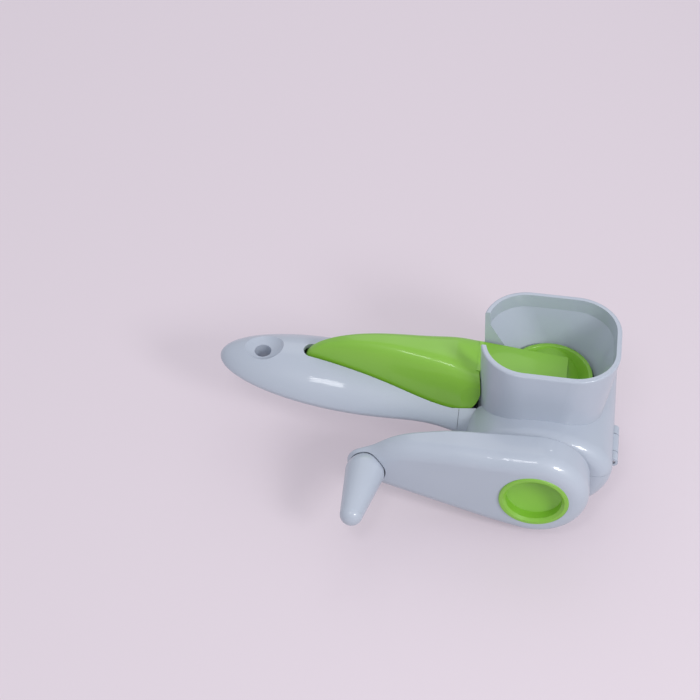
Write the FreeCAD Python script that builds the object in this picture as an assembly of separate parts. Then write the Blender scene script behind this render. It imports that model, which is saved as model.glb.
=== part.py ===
import FreeCAD, Part
import math
import os
from FreeCAD import Vector as V

# Rotary cheese grater, in millimetres.
# It is modelled round the drum: the drum's axis is Y, +X is the nose, -X is the handle, and the
# crank is on the -Y side.  Every piece is then lifted so that the moulded foot stands on z = 0.

# ---- driving dimensions ---------------------------------------------------------------------
WALL = 2.3                 # moulded wall
COVER_PLAY = 0.1           # a plate in its recess, a head in its hole
JOURNAL_PLAY = 0.05        # radial play of a running journal
GAP = 0.5                  # air between mouldings that move past each other
SEAM = 0.2                 # air at the parting between two mouldings
EPS = 0.01

# size of the drum, from which its neighbours follow
DRUM_R = 20.0

# housing round the drum
HOUSING_HALF = 34.0        # half width along X at the parting
HOUSING_NEAR = -39.4       # crank side face
HOUSING_FAR = 34.5         # outlet side face
HOUSING_EDGE = 7.0         # rounding of both end faces
COVER_RISE = 20.5          # crown of the lid's cover above the drum axis
HOUSING_DROP = 30.0        # depth of the cradle's curve below the drum axis
FOOT_DROP = 29.0           # the foot is a flat on that curve
OUTLET_WALL = 3.4          # radial wall round the outlet
OUTLET_LENGTH = 6.0        # length of the outlet collar

# handle
TAIL_X = -155.5
TAIL_ROUND = 60.0          # length of the half ellipse that ends the handle
HANDLE_HALF = 21.4         # widest half width
NECK_X = -44.0
NECK_HALF = 19.3
FLARE_X = -27.0
FLARE_HALF = 29.0
CROWN = 14.3               # height of the top shell over the seam
CROWN_POWER = 1.4          # how full the top shell's section is; 1 is an ellipse
BELLY = 9.0                # depth of the lower shell under the seam
TILT = 6.1                 # rise of the handle, degrees
TILT_X = -45.6             # where the rise starts
TOP_END_X = -38.5          # front end of the top shell, where the lid begins

# hanging hole
HANG_X = -134.2
HANG_R = 4.0
HANG_TUBE = 2.4            # wall of the tube round it
DISH_R = 9.8
DISH_DEPTH = 4.8

# hopper
RIM_Z = 47.3
RIM_X = 31.5
RIM_Y = 27.7
RIM_CORNER = 21.0
HOPPER_FOOT_Z = 6.0
FUNNEL_TOP_Z = 40.0        # where the inside starts to round off towards the well
FUNNEL_FOOT_Z = DRUM_R + 1.0      # where the round well starts
WELL_GAP = 1.2             # air round the pad in the well
HOPPER_TAPER = 0.112       # how much the nose side draws in per unit of depth
HOPPER_REAR_TAPER = 0.05   # and the slot side
SLOT_HALF = 10.5           # slot for the lever's arm
SLOT_WALL = 1.7            # wall that closes the slot under the arm
SLOT_FOOT = 0.6            # its foot stands out this much
SLOT_ROOT = 4.0            # and reaches this far into the cradle
CHEEK = 1.6                # thickness of the slot's two cheeks
RIM_ROUND = 0.9

# hinge of the lid, at the nose
HINGE_X = HOUSING_HALF     # the axis lies in the skin, so that the lid swings clear
HINGE_PIN_R = 1.25
KNUCKLE_R = 2.4
HINGE_NEAR = -29.5
HINGE_FAR = -8.5
LID_KNUCKLE = 10.0

# lever
PIVOT_X = -105.0
PIVOT_Z = 16.5
PIVOT_PIN_R = 1.5
EAR_THICK = 3.0
EAR_HALF = 3.5
LEVER_TAIL = -113.6
LEVER_FRONT = -26.5
LEVER_BOTTOM = 5.0
LEVER_PEAK_X = -74.0
LEVER_PEAK_Z = 33.5
LEVER_TAIL_Z = 15.5
LEVER_FRONT_Z = 29.4
LEVER_TOE = V(-29.0, 0, 4.5)   # the lever's lower front corner, before its rounding
LEVER_TOE_X = 10.0
LEVER_TOE_Z = 18.0
LEVER_WALL = 2.2
LEVER_POWER = 3.5          # how square the lever's arch is
LEVER_SQUARE = 2.0         # how much squarer it gets towards the hopper
LEVER_SHY = 3.0            # the lever's tail is narrower, so that it can swing in the pocket
OPENING_TAIL_X = -110.2    # centre of the round end of the lever's pocket
OPENING_TAIL_R = 4.2
OPENING_FRONT_X = -42.0
OPENING_FRONT_HALF = 14.3
ARM_HALF = 9.5
ARM_END = 9.0
ARM_TOP_START = DRUM_R + 8.9
ARM_FALL = 0.107           # slope of the arm's top
ARM_BOTTOM = DRUM_R + 1.3
PAD_X = 1.5
PAD_R = DRUM_R - 0.5
PAD_RIM_Z = DRUM_R + 3.6
PAD_FOOT_Z = DRUM_R - 10.0
PAD_WALL = 2.0
PAD_LIP = 1.8              # flat rim round the pad's bowl
PAD_BOWL_R = 10.5          # the bowl's radius at its foot

# drum
DRUM_SHEET = 0.5
DRUM_NEAR = -25.0
DRUM_FAR = 33.0
DRUM_ROWS = 10             # rings of teeth
DRUM_COLUMNS = 16          # teeth in a ring
TOOTH_START = 5.0          # plain sheet before the first ring of teeth
TOOTH_END = 9.0            # and after the last
TOOTH_HOLE = 3.2           # length of the hole along the drum
TOOTH_SLIT = 2.0           # width of the hole round the drum
DRUM_ROOM = 1.0            # air round the drum in the lid
DRUM_GAP = 0.8             # air over the drum under the pad
RING_R = DRUM_R + 3.6             # rear ring's journal
RING_START = 28.6          # inner end of the ring, behind the hopper's far wall
RING_LIP_R = RING_R + 1.4
RING_LIP = 2.0
RING_BORE = DRUM_R - 1.5
HUB_FLANGE_R = DRUM_R + 0.3
HUB_FLANGE = 1.0
HUB_SPIGOT = 3.6
HUB_JOURNAL_R = 11.0
HUB_WALL = 2.2
HUB_SPIGOT_WALL = 1.8
BEARING_LENGTH = 5.0
BEARING_WALL = 2.4

# crank
CRANK_BACK = -40.0
CRANK_FRONT = -58.3
CRANK_HEAD_R = 24.4
CRANK_THROW = 77.0
CRANK_END_R = 8.0
CRANK_END_SHIFT = V(-1.6, 0, -1.6)   # the arm's round end sits a little beyond the knob
CRANK_TOP = ((0.987, 8.3), (0.90, 13.0), (0.80, 17.0), (0.633, 19.9), (0.46, 21.8), (0.26, 23.0))
CRANK_END_FRONT = -51.4    # the arm's front face at the knob
CRANK_END_BACK = -43.2     # the arm's back at the knob
CRANK_BEND_X = -12.0       # where the front starts to fall towards the knob
CRANK_LEAVE_X = -42.0      # where the back starts to leave the housing
CRANK_ROUND = 7.4          # rounding of its front edge
CRANK_BACK_ROUND = 1.6     # rounding of its back edge
CRANK_BLEND = 17.0         # half length of the bend between head and arm
CRANK_COVER = 1.5
CUP_R = 15.7               # green cup in the crank's head
CUP_BORE = 12.6
CUP_DEPTH = 14.0
CUP_PROUD = 0.4
CUP_LIP_ROUND = 1.2
CUP_WALL = 1.8
CUP_STEP = 5.0             # depth at which the dished bottom starts
CUP_DISH = 3.2             # how much deeper the dish is in its middle
DRIVE_DEPTH = 3.4          # socket for the hub's flats, in the cup's back
DRIVE_PLAY = 0.02
DRIVE_R = 8.0              # end of the hub that turns the cup
DRIVE_FLAT = 6.5

# knob
KNOB_BASE_R = 9.0          # the knob's back is a ball of this radius
KNOB_WIDE_Y = -53.5        # the ball's centre
KNOB_BASE_Y = -47.1        # the flat that ends the ball, in a socket of the arm
KNOB_TIP_R = 5.2
KNOB_TIP = -83.3
KNOB_LEAN = 5.0            # the knob stands square on the sloping arm
SOCKET_WALL = 1.2
AXLE_R = 2.5
AXLE_HEAD_R = 4.6
AXLE_HEAD = 0.8
AXLE_BARB = 0.5
AXLE_SHORT = 8.0          # the axle ends this much before the knob's tip
AXLE_BARB_LENGTH = 2.5

# screws of the handle
SCREW_TAIL_X = -120.5
SCREW_FRONT_X = -66.0
SCREW_FRONT_Y = 13.6
SCREW_R = 1.4
SCREW_HEAD_R = 2.7
SCREW_HEAD = 1.5
SCREW_PLAY = 0.15
SCREW_BOSS_R = 3.2
SCREW_SEAT = 3.4           # depth of the head's seat under the seam
SCREW_REACH = 4.2          # height of the screw's tip over the seam

LIFT = V(0, 0, FOOT_DROP)
Y_AXIS = V(0, 1, 0)
ORIGIN = V(0, 0, 0)
FAR_AWAY = 300.0


# ---- helpers --------------------------------------------------------------------------------
def box(x0, x1, y0, y1, z0, z1):
    return Part.makeBox(x1 - x0, y1 - y0, z1 - z0, V(x0, y0, z0))


def rod_y(radius, y0, y1, x=0.0, z=0.0):
    return Part.makeCylinder(radius, y1 - y0, V(x, y0, z), Y_AXIS)


def rod_z(radius, z0, z1, x=0.0, y=0.0):
    return Part.makeCylinder(radius, z1 - z0, V(x, y, z0))


def turned_y(profile, x=0.0, z=0.0):
    """A solid of revolution about the Y axis through (x, z); profile is a list of (radius, y)."""
    points = [V(radius, y, 0) for radius, y in profile]
    face = Part.Face(Part.makePolygon(points + points[:1]))
    solid = face.revolve(ORIGIN, Y_AXIS, 360)
    solid.translate(V(x, 0, z))
    return solid


def prism_xz(points, y0, y1):
    wire = Part.makePolygon([V(x, y0, z) for x, z in points + points[:1]])
    return Part.Face(wire).extrude(V(0, y1 - y0, 0))


def prism_xy(points, z0, z1):
    wire = Part.makePolygon([V(x, y, z0) for x, y in points + points[:1]])
    return Part.Face(wire).extrude(V(0, 0, z1 - z0))


def edges_in_plane(shape, axis, value):
    """The edges that lie wholly in the plane where the named coordinate has that value."""
    found = []
    for edge in shape.Edges:
        bounds = edge.BoundBox
        low = getattr(bounds, axis + "Min")
        high = getattr(bounds, axis + "Max")
        if abs(low - value) < 0.02 and abs(high - value) < 0.02:
            found.append(edge)
    return found


def curved(edges):
    return [edge for edge in edges if edge.Curve.TypeId != "Part::GeomLine"]


def above_parting():
    """Everything over the parting: level round the drum, and rising with the handle."""
    rise = math.tan(math.radians(TILT))
    return prism_xz([(FAR_AWAY, 0), (FAR_AWAY, FAR_AWAY), (-FAR_AWAY, FAR_AWAY),
                     (-FAR_AWAY, (FAR_AWAY + TILT_X) * rise), (TILT_X, 0)],
                    -FAR_AWAY, FAR_AWAY)


def trimmed_up(shape):
    return shape.common(above_parting())


def trimmed_down(shape):
    return shape.cut(above_parting())


# ---- housing forms --------------------------------------------------------------------------
def half_barrel(half_width, height, y0, y1, edge):
    """Half of an elliptic barrel; a positive height is the cover, a negative one the cradle."""
    if abs(height) < half_width:
        ellipse = Part.Ellipse(V(half_width, y0, 0), V(0, y0, height), V(0, y0, 0))
        arc = ellipse.toShape(0, math.pi)
    else:
        ellipse = Part.Ellipse(V(0, y0, height), V(half_width, y0, 0), V(0, y0, 0))
        arc = ellipse.toShape(-math.pi / 2, math.pi / 2)
    ends = [vertex.Point for vertex in arc.Vertexes]
    face = Part.Face(Part.Wire([arc, Part.makeLine(ends[1], ends[0])]))
    solid = face.extrude(V(0, y1 - y0, 0))
    rims = curved(edges_in_plane(solid, "Y", y0)) + curved(edges_in_plane(solid, "Y", y1))
    return solid.makeFillet(edge, rims)


def cover_form(inset=0.0):
    return half_barrel(HOUSING_HALF - inset, COVER_RISE - inset,
                       HOUSING_NEAR + inset, HOUSING_FAR - inset, HOUSING_EDGE - inset)


def cradle_form(inset=0.0):
    drop = HOUSING_DROP if inset == 0 else FOOT_DROP - inset
    form = half_barrel(HOUSING_HALF - inset, -drop,
                       HOUSING_NEAR + inset, HOUSING_FAR - inset, HOUSING_EDGE - inset)
    return form.common(box(-FAR_AWAY, FAR_AWAY, -FAR_AWAY, FAR_AWAY, -FOOT_DROP, EPS))


# ---- handle forms ---------------------------------------------------------------------------
def handle_stations(inset=0.0):
    """Places along the handle with its half width: an elliptic tail, a long waist, a flare."""
    centre_x = TAIL_X + TAIL_ROUND
    stations = []
    for angle in (2.3, 8, 16, 26, 38, 52, 70, 90):
        turn = math.radians(angle)
        stations.append((centre_x - (TAIL_ROUND - inset) * math.cos(turn),
                         (HANDLE_HALF - inset) * math.sin(turn), math.sin(turn)))
    waist = Part.BSplineCurve()
    waist.interpolate(Points=[V(centre_x, HANDLE_HALF, 0), V(NECK_X, NECK_HALF, 0),
                              V(FLARE_X, FLARE_HALF, 0)],
                      InitialTangent=V(1, 0, 0), FinalTangent=V(0.55, 1, 0))
    steps = 8
    for i in range(1, steps + 1):
        share = i / steps
        point = waist.value(waist.FirstParameter
                            + share * (waist.LastParameter - waist.FirstParameter))
        stations.append((point.x, point.y - inset, 1.0))
    return stations


def handle_section(x, half, share, inset):
    """The handle's closed outline across its length: full above the seam, elliptic below."""
    fullness = share * min(1.0, (half + inset) / HANDLE_HALF if share == 1.0 else 1.0)
    crown = CROWN * fullness - inset * share
    belly = BELLY * fullness - inset * share
    upper = []
    lower = []
    steps = 8
    for i in range(-steps, steps + 1):
        angle = math.pi / 2 * i / steps
        level = abs(math.cos(angle))
        if abs(i) == steps:
            level = 0.0
        upper.append(V(x, half * math.sin(angle), crown * level ** CROWN_POWER))
        lower.append(V(x, half * math.sin(angle), -belly * level))
    top_curve = Part.BSplineCurve()
    top_curve.interpolate(upper)
    low_curve = Part.BSplineCurve()
    low_curve.interpolate(lower[::-1])
    return Part.Wire([top_curve.toShape(), low_curve.toShape()])


def tilted(shape):
    copy = shape.copy()
    copy.rotate(V(TILT_X, 0, 0), Y_AXIS, TILT)
    return copy


def handle_form(inset=0.0):
    wires = [handle_section(x, half, share, inset)
             for x, half, share in handle_stations(inset)]
    return tilted(Part.makeLoft(wires, True, False))


def seam_z(x):
    return max(0.0, TILT_X - x) * math.tan(math.radians(TILT))


def hang_top_z():
    """Height of the handle's crown over the hanging hole."""
    along = (HANG_X - (TAIL_X + TAIL_ROUND)) / TAIL_ROUND
    return seam_z(HANG_X) + CROWN * math.sqrt(1 - along * along)


def dish(extra=0.0):
    radius = (DISH_R ** 2 + DISH_DEPTH ** 2) / (2 * DISH_DEPTH)
    centre_z = hang_top_z() - DISH_DEPTH + radius
    return Part.makeSphere(radius + extra, V(HANG_X, 0, centre_z))


# ---- lever forms ----------------------------------------------------------------------------
def opening_half(x):
    """Half width of the lever's pocket at a place along the handle."""
    slope = (OPENING_FRONT_HALF - OPENING_TAIL_R) / (OPENING_FRONT_X - OPENING_TAIL_X)
    return min(OPENING_FRONT_HALF, OPENING_TAIL_R + slope * (x - OPENING_TAIL_X))


def lever_opening(shrink=0.0):
    """The pocket's outline: a narrow round end that widens to the front."""
    tail_r = OPENING_TAIL_R - shrink
    side = OPENING_FRONT_HALF - shrink
    front = LEVER_FRONT + 5.0
    wedge = prism_xy([(OPENING_TAIL_X, -tail_r), (OPENING_FRONT_X, -side), (front, -side),
                      (front, side), (OPENING_FRONT_X, side), (OPENING_TAIL_X, tail_r)], -4.0, 60.0)
    return wedge.fuse(rod_z(tail_r, -4.0, 60.0, OPENING_TAIL_X))


def lever_crown(x):
    """Height of the lever's ridge: a steep elliptic tail, then a gentle fall to the front."""
    if x < LEVER_PEAK_X:
        share = (x - LEVER_PEAK_X) / (LEVER_TAIL - LEVER_PEAK_X)
        rise = LEVER_PEAK_Z - LEVER_TAIL_Z
        return LEVER_TAIL_Z + rise * math.sqrt(max(0.0, 1 - share * share))
    share = (x - LEVER_PEAK_X) / (LEVER_FRONT - LEVER_PEAK_X)
    return LEVER_PEAK_Z - (LEVER_PEAK_Z - LEVER_FRONT_Z) * share * share


def lever_stations():
    """Places along the lever, closer together where the tail rises."""
    count = 11
    places = []
    for i in range(count):
        angle = math.pi / 2 * i / (count - 1)
        places.append(LEVER_FRONT + (LEVER_TAIL - LEVER_FRONT) * math.cos(angle))
    return places


def arch_wire(x, half, bottom, top):
    """A squarish arch across the lever, open flat at its foot."""
    points = []
    steps = 8
    share = max(0.0, (x - LEVER_PEAK_X) / (LEVER_FRONT - LEVER_PEAK_X))
    power = 2 / (LEVER_POWER + LEVER_SQUARE * share ** 2)
    for i in range(-steps, steps + 1):
        angle = math.pi / 2 * i / steps
        y = half * math.copysign(abs(math.sin(angle)) ** power, angle)
        z = bottom + (top - bottom) * abs(math.cos(angle)) ** power
        points.append(V(x, y, z))
    curve = Part.BSplineCurve()
    curve.interpolate(points)
    return Part.Wire([curve.toShape(), Part.makeLine(points[-1], points[0])])


def lever_body(inset=0.0, drop=0.0):
    wires = []
    for x in lever_stations():
        half = max(opening_half(x - LEVER_SHY) - GAP - inset, 0.4)
        wires.append(arch_wire(x, half, LEVER_BOTTOM - drop, lever_crown(x) - inset))
    return Part.makeLoft(wires, True, False)


def lever_front_x():
    """Where the lever ends before the hopper."""
    return hopper_rear_x(LEVER_FRONT_Z) - GAP


def lever_toe_cut():
    """What is taken off the lever's lower front corner: outside a quarter of an ellipse."""
    centre = LEVER_TOE + V(-LEVER_TOE_X, 0, LEVER_TOE_Z)
    low = centre + V(0, 0, -LEVER_TOE_Z)
    high = centre + V(LEVER_TOE_X, 0, 0)
    arc = Part.Ellipse(low, high, centre).toShape(0, math.pi / 2)
    reach = 12.0
    corners = [high, high + V(reach, 0, 0), V(high.x + reach, 0, low.z - reach),
               low + V(0, 0, -reach), low]
    lines = [Part.makeLine(corners[i], corners[i + 1]) for i in range(len(corners) - 1)]
    face = Part.Face(Part.Wire([arc] + lines))
    face.translate(V(0, -FAR_AWAY, 0))
    return face.extrude(V(0, 2 * FAR_AWAY, 0))


def arm_form(inset=0.0, bottom=ARM_BOTTOM):
    """The arm from the lever's front through the slot to the pad."""
    start = lever_front_x() - LEVER_WALL / 2
    top_end = ARM_TOP_START - ARM_FALL * (ARM_END + 27.0)
    top_start = ARM_TOP_START - ARM_FALL * (start + 27.0)
    half = ARM_HALF - inset
    solid = prism_xz([(start, bottom), (ARM_END - inset, bottom), (ARM_END - inset, top_end - inset),
                      (start, top_start - inset)], -half, half)
    return solid


# ---- crank forms ----------------------------------------------------------------------------
def crank_outline(inset=0.0):
    """Head and end circles, joined by a straight tangent below and a full curve above."""
    head = CRANK_HEAD_R - inset
    end = CRANK_END_R - inset
    end_centre = V(-CRANK_THROW, 0, 0) + CRANK_END_SHIFT
    axis = V(end_centre).normalize()
    down = V(-axis.z, 0, axis.x)
    lean = (head - end) / end_centre.Length
    normal = axis * lean + down * math.sqrt(1 - lean * lean)
    low_head = normal * head
    low_end = end_centre + normal * end
    head_angle = math.radians(93)
    end_angle = math.radians(124)
    up_head = V(math.cos(head_angle), 0, math.sin(head_angle)) * head
    up_end = end_centre + V(math.cos(end_angle), 0, math.sin(end_angle)) * end
    nose = Part.Arc(up_head, V(head, 0, 0), low_head).toShape()
    tip = Part.Arc(low_end, end_centre + V(-0.985, 0, -0.17) * end, up_end).toShape()
    crest = [V(-share * CRANK_THROW, 0, height - inset) for share, height in CRANK_TOP]
    back = Part.BSplineCurve()
    back.interpolate(Points=[up_end] + crest + [up_head],
                     InitialTangent=V(math.sin(end_angle), 0, -math.cos(end_angle)),
                     FinalTangent=V(math.sin(head_angle), 0, -math.cos(head_angle)))
    return Part.Wire([nose, Part.makeLine(low_head, low_end), tip, back.toShape()])


def crank_front_trim(inset=0.0):
    """What lies in front of the crank's face: level at the head, then sloping with the arm."""
    lean = math.atan((CRANK_END_FRONT - CRANK_FRONT) / (CRANK_THROW + CRANK_BEND_X))
    bend = V(CRANK_BEND_X, CRANK_FRONT + inset, 0)
    along = V(-math.cos(lean), math.sin(lean), 0)
    start = bend + V(CRANK_BLEND, 0, 0)
    radius = CRANK_BLEND / math.tan(lean / 2)
    centre = start + V(0, radius, 0)
    middle = centre + V(-math.sin(lean / 2), -math.cos(lean / 2), 0) * radius
    arc = Part.Arc(start, middle, bend + along * CRANK_BLEND).toShape()
    far = bend + along * FAR_AWAY
    low = CRANK_FRONT - 50
    corners = [bend + along * CRANK_BLEND, far, V(far.x, low, 0), V(start.x, low, 0), start]
    lines = [Part.makeLine(corners[i], corners[i + 1]) for i in range(len(corners) - 1)]
    face = Part.Face(Part.Wire([arc] + lines))
    face.translate(V(0, 0, -FAR_AWAY))
    return face.extrude(V(0, 0, 2 * FAR_AWAY))


def crank_back_y(x):
    """The crank's back: level behind the head, then leaving the housing with the arm."""
    slope = (CRANK_BACK - CRANK_END_BACK) / (CRANK_THROW + CRANK_LEAVE_X)
    return CRANK_BACK - slope * max(0.0, CRANK_LEAVE_X - x)


def crank_back_trim(shift=0.0):
    """What lies behind the crank's back."""
    return prism_xy([(FAR_AWAY, crank_back_y(0) + shift), (CRANK_LEAVE_X, crank_back_y(0) + shift),
                     (-FAR_AWAY, crank_back_y(-FAR_AWAY) + shift),
                     (-FAR_AWAY, FAR_AWAY), (FAR_AWAY, FAR_AWAY)], -FAR_AWAY, FAR_AWAY)


def on_crank_back(edge):
    for vertex in edge.Vertexes:
        if abs(vertex.Y - crank_back_y(vertex.X)) > 0.02:
            return False
    middle = edge.valueAt((edge.FirstParameter + edge.LastParameter) / 2)
    return abs(middle.y - crank_back_y(middle.x)) < 0.1


def crank_form(inset=0.0):
    wire = crank_outline(inset)
    wire.translate(V(0, CRANK_BACK, 0))
    depth = CRANK_FRONT - CRANK_BACK + inset
    solid = Part.Face(wire).extrude(V(0, depth, 0)).cut(crank_front_trim(inset))
    rim = []
    for edge in solid.Edges:
        runs_across = edge.BoundBox.XLength < 0.1
        if edge.BoundBox.YMax < CRANK_BACK - 1.0 and not runs_across:
            rim.append(edge)
    return solid.makeFillet(CRANK_ROUND - inset, rim).cut(crank_back_trim())


def crank_outer():
    """The whole crank with its back edge rounded too."""
    solid = crank_form()
    rim = [edge for edge in solid.Edges if on_crank_back(edge) and edge.BoundBox.ZLength > 0.5
           and not abs(edge.BoundBox.XMax - edge.BoundBox.XMin) < 0.01]
    return solid.makeFillet(CRANK_BACK_ROUND, rim)


# ---- pieces of the root body ----------------------------------------------------------------
def hinge_barrel(y0, y1, radius=KNUCKLE_R):
    return rod_y(radius, y0, y1, HINGE_X, 0)


def body_lower_shell():
    """The cradle under the drum and the underside of the handle, in one moulding."""
    outer_cradle = cradle_form()
    outer_handle = trimmed_down(handle_form())
    outer = outer_cradle.fuse(outer_handle)
    shell = outer.cut(cradle_form(WALL))
    handle_void = trimmed_down(handle_form(WALL)).cut(outer_cradle)
    shell = shell.cut(handle_void)
    near_boss = rod_y(HUB_JOURNAL_R + BEARING_WALL, HOUSING_NEAR + 1, HOUSING_NEAR + BEARING_LENGTH)
    far_collar = rod_y(RING_R + OUTLET_WALL, HOUSING_FAR - OUTLET_LENGTH, HOUSING_FAR)
    low = box(-FAR_AWAY, FAR_AWAY, -FAR_AWAY, FAR_AWAY, -FOOT_DROP, 0)
    shell = shell.fuse(near_boss.common(low)).fuse(far_collar.common(low))
    shell = shell.fuse(slot_wall())
    shell = shell.fuse(hang_tube_lower())
    for x, y in screw_places():
        shell = shell.fuse(screw_boss_lower(x, y))
    knuckles = hinge_barrel(HINGE_NEAR, knuckle_gap_near()).fuse(
        hinge_barrel(knuckle_gap_far(), HINGE_FAR))
    shell = shell.fuse(knuckles)
    shell = shell.cut(hinge_barrel(knuckle_gap_near(), knuckle_gap_far(), KNUCKLE_R + GAP))
    shell = shell.cut(rod_y(HUB_JOURNAL_R + JOURNAL_PLAY, HOUSING_NEAR - 5, DRUM_NEAR))
    shell = shell.cut(rod_y(RING_R + JOURNAL_PLAY, DRUM_NEAR, HOUSING_FAR + 5))
    shell = shell.cut(rod_y(HINGE_PIN_R, HINGE_NEAR - 5, HINGE_FAR + 5, HINGE_X, 0))
    shell = shell.cut(rod_z(HANG_R, -FAR_AWAY, FAR_AWAY, HANG_X))
    for x, y in screw_places():
        shell = shell.cut(screw_hole(x, y))
    return shell.removeSplitter()


def knuckle_gap_near():
    return (HINGE_NEAR + HINGE_FAR) / 2 - LID_KNUCKLE / 2 - GAP


def knuckle_gap_far():
    return (HINGE_NEAR + HINGE_FAR) / 2 + LID_KNUCKLE / 2 + GAP


def hopper_nose_x(z):
    return RIM_X - HOPPER_TAPER * (RIM_Z - z)


def hopper_rear_x(z):
    return -RIM_X + HOPPER_REAR_TAPER * (RIM_Z - z)


def hopper_section(z, inset):
    """The hopper's outline at a height, drawn in by inset."""
    half = (hopper_nose_x(z) - hopper_rear_x(z)) / 2
    wire = rounded_rectangle(half - inset, RIM_Y - inset, RIM_CORNER - inset, z)
    wire.translate(V(hopper_nose_x(z) - half, 0, 0))
    return wire


def slot_wall():
    """Closes the pocket's front and the lid's slot under the arm; it stands on the cradle."""
    thick = SLOT_WALL
    top = ARM_BOTTOM - GAP
    step = HOPPER_FOOT_Z - GAP
    low = hopper_rear_x(0.0)
    high = hopper_rear_x(top)
    shelf = -(DRUM_R + DRUM_ROOM)
    outside = low - SLOT_FOOT
    foot = prism_xz([(-HOUSING_HALF + WALL / 2, -SLOT_ROOT), (outside, 0.0), (outside, step),
                     (low + thick, step), (low + thick, -SLOT_ROOT)],
                    -OPENING_FRONT_HALF + GAP, OPENING_FRONT_HALF - GAP)
    half = SLOT_HALF - GAP
    wall = prism_xz([(outside, 0.0), (high, top), (shelf, top), (shelf, top - thick),
                     (high + thick, top - thick), (low + thick, 0.0)], -half, half)
    return foot.fuse(wall)


def hang_tube_lower():
    tube = rod_z(HANG_R + HANG_TUBE, -FAR_AWAY, FAR_AWAY, HANG_X)
    return trimmed_down(tube.common(handle_form()))


def screw_boss_lower(x, y):
    boss = rod_z(SCREW_BOSS_R, -FAR_AWAY, FAR_AWAY, x, y)
    return trimmed_down(boss.common(handle_form()))


def screw_places():
    return ((SCREW_TAIL_X, 0.0), (SCREW_FRONT_X, -SCREW_FRONT_Y), (SCREW_FRONT_X, SCREW_FRONT_Y))


def screw_seat_z(x):
    return seam_z(x) - SCREW_SEAT


def screw_hole(x, y):
    seat = screw_seat_z(x)
    hole = rod_z(SCREW_R + SCREW_PLAY, -FAR_AWAY, FAR_AWAY, x, y)
    return hole.fuse(rod_z(SCREW_HEAD_R + SCREW_PLAY, -FAR_AWAY, seat, x, y))


def handle_screws():
    screws = []
    for x, y in screw_places():
        seat = screw_seat_z(x)
        shank = rod_z(SCREW_R, seat - 0.1, seam_z(x) + SCREW_REACH, x, y)
        head = rod_z(SCREW_HEAD_R, seat - SCREW_HEAD, seat, x, y)
        screws.append(head.fuse(shank))
    return Part.makeCompound(screws)


def handle_top_shell():
    """The handle's upper half, with the lever's pocket, the dished hole and the pivot's ears."""
    front = box(-FAR_AWAY, TOP_END_X - SEAM / 2, -FAR_AWAY, FAR_AWAY, -FAR_AWAY, FAR_AWAY)
    outer = trimmed_up(handle_form()).common(front)
    void = handle_form(WALL).cut(dish(WALL))
    shell = outer.cut(void)
    tube = rod_z(HANG_R + HANG_TUBE, -FAR_AWAY, FAR_AWAY, HANG_X)
    shell = shell.fuse(tube.common(outer))
    for x, y in screw_places():
        shell = shell.fuse(rod_z(SCREW_BOSS_R, -FAR_AWAY, FAR_AWAY, x, y).common(outer))
    shell = shell.cut(lever_opening())
    for side in (-1, 1):
        shell = shell.fuse(pivot_ear(side, outer))
    shell = shell.cut(dish())
    shell = shell.cut(rod_z(HANG_R, -FAR_AWAY, FAR_AWAY, HANG_X))
    shell = shell.cut(lever_pivot_pin())
    for x, y in screw_places():
        shell = shell.cut(rod_z(SCREW_R, -FAR_AWAY, seam_z(x) + SCREW_REACH + GAP, x, y))
    return shell.removeSplitter()


def ear_start():
    return opening_half(PIVOT_X + EAR_HALF)


def pivot_ear(side, outer):
    """An ear beside the lever's tail that holds one end of the pivot pin."""
    near = ear_start()
    far = near + EAR_THICK
    y0, y1 = (near, far) if side > 0 else (-far, -near)
    ear = box(PIVOT_X - EAR_HALF, PIVOT_X + EAR_HALF, y0, y1, seam_z(PIVOT_X), FAR_AWAY)
    return ear.common(outer)


def lever_pivot_pin():
    reach = ear_start() + EAR_THICK - 0.2
    return rod_y(PIVOT_PIN_R, -reach, reach, PIVOT_X, PIVOT_Z)


def lid_hinge_pin():
    return rod_y(HINGE_PIN_R, HINGE_NEAR + 0.6, HINGE_FAR - 0.6, HINGE_X, 0)


# ---- the lid --------------------------------------------------------------------------------
def rounded_rectangle(half_x, half_y, corner, z):
    corner = min(corner, half_x - 0.5, half_y - 0.5)
    edges = []
    angles = (0, 90, 180, 270)
    signs = ((1, 1), (-1, 1), (-1, -1), (1, -1))
    centres = [V(sx * (half_x - corner), sy * (half_y - corner), z) for sx, sy in signs]
    for centre, start in zip(centres, angles):
        points = [centre + V(math.cos(math.radians(start + turn)) * corner,
                             math.sin(math.radians(start + turn)) * corner, 0)
                  for turn in (0, 45, 90)]
        edges.append(Part.Arc(*points).toShape())
    joined = []
    for i, arc in enumerate(edges):
        following = edges[(i + 1) % 4]
        joined.append(arc)
        joined.append(Part.makeLine(arc.Vertexes[-1].Point, following.Vertexes[0].Point))
    return Part.Wire(joined)


def hopper_form(inset, z0, z1):
    """The tapering tube of the hopper between two heights."""
    wires = [hopper_section(z, inset) for z in (z0, z1)]
    return Part.makeLoft(wires, True, True)


def funnel_form(offset=0.0, drop=0.0):
    """The inside of the hopper: an oblong mouth that closes in to the round well."""
    top = hopper_section(FUNNEL_TOP_Z, WALL - offset)
    reach = PAD_R + WELL_GAP + offset
    foot = rounded_rectangle(reach, reach, reach, FUNNEL_FOOT_Z - drop)
    foot.translate(V(PAD_X, 0, 0))
    return Part.makeLoft([top, foot], True, True)


def hopper_void():
    """The hopper's inside: the oblong mouth, the funnel and the round well that the pad fills."""
    wide = hopper_form(WALL, FUNNEL_TOP_Z - EPS, RIM_Z + 1)
    well = rod_z(PAD_R + WELL_GAP, HOPPER_FOOT_Z - 1, FUNNEL_FOOT_Z + EPS, PAD_X)
    return wide.fuse(funnel_form()).fuse(well)


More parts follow.
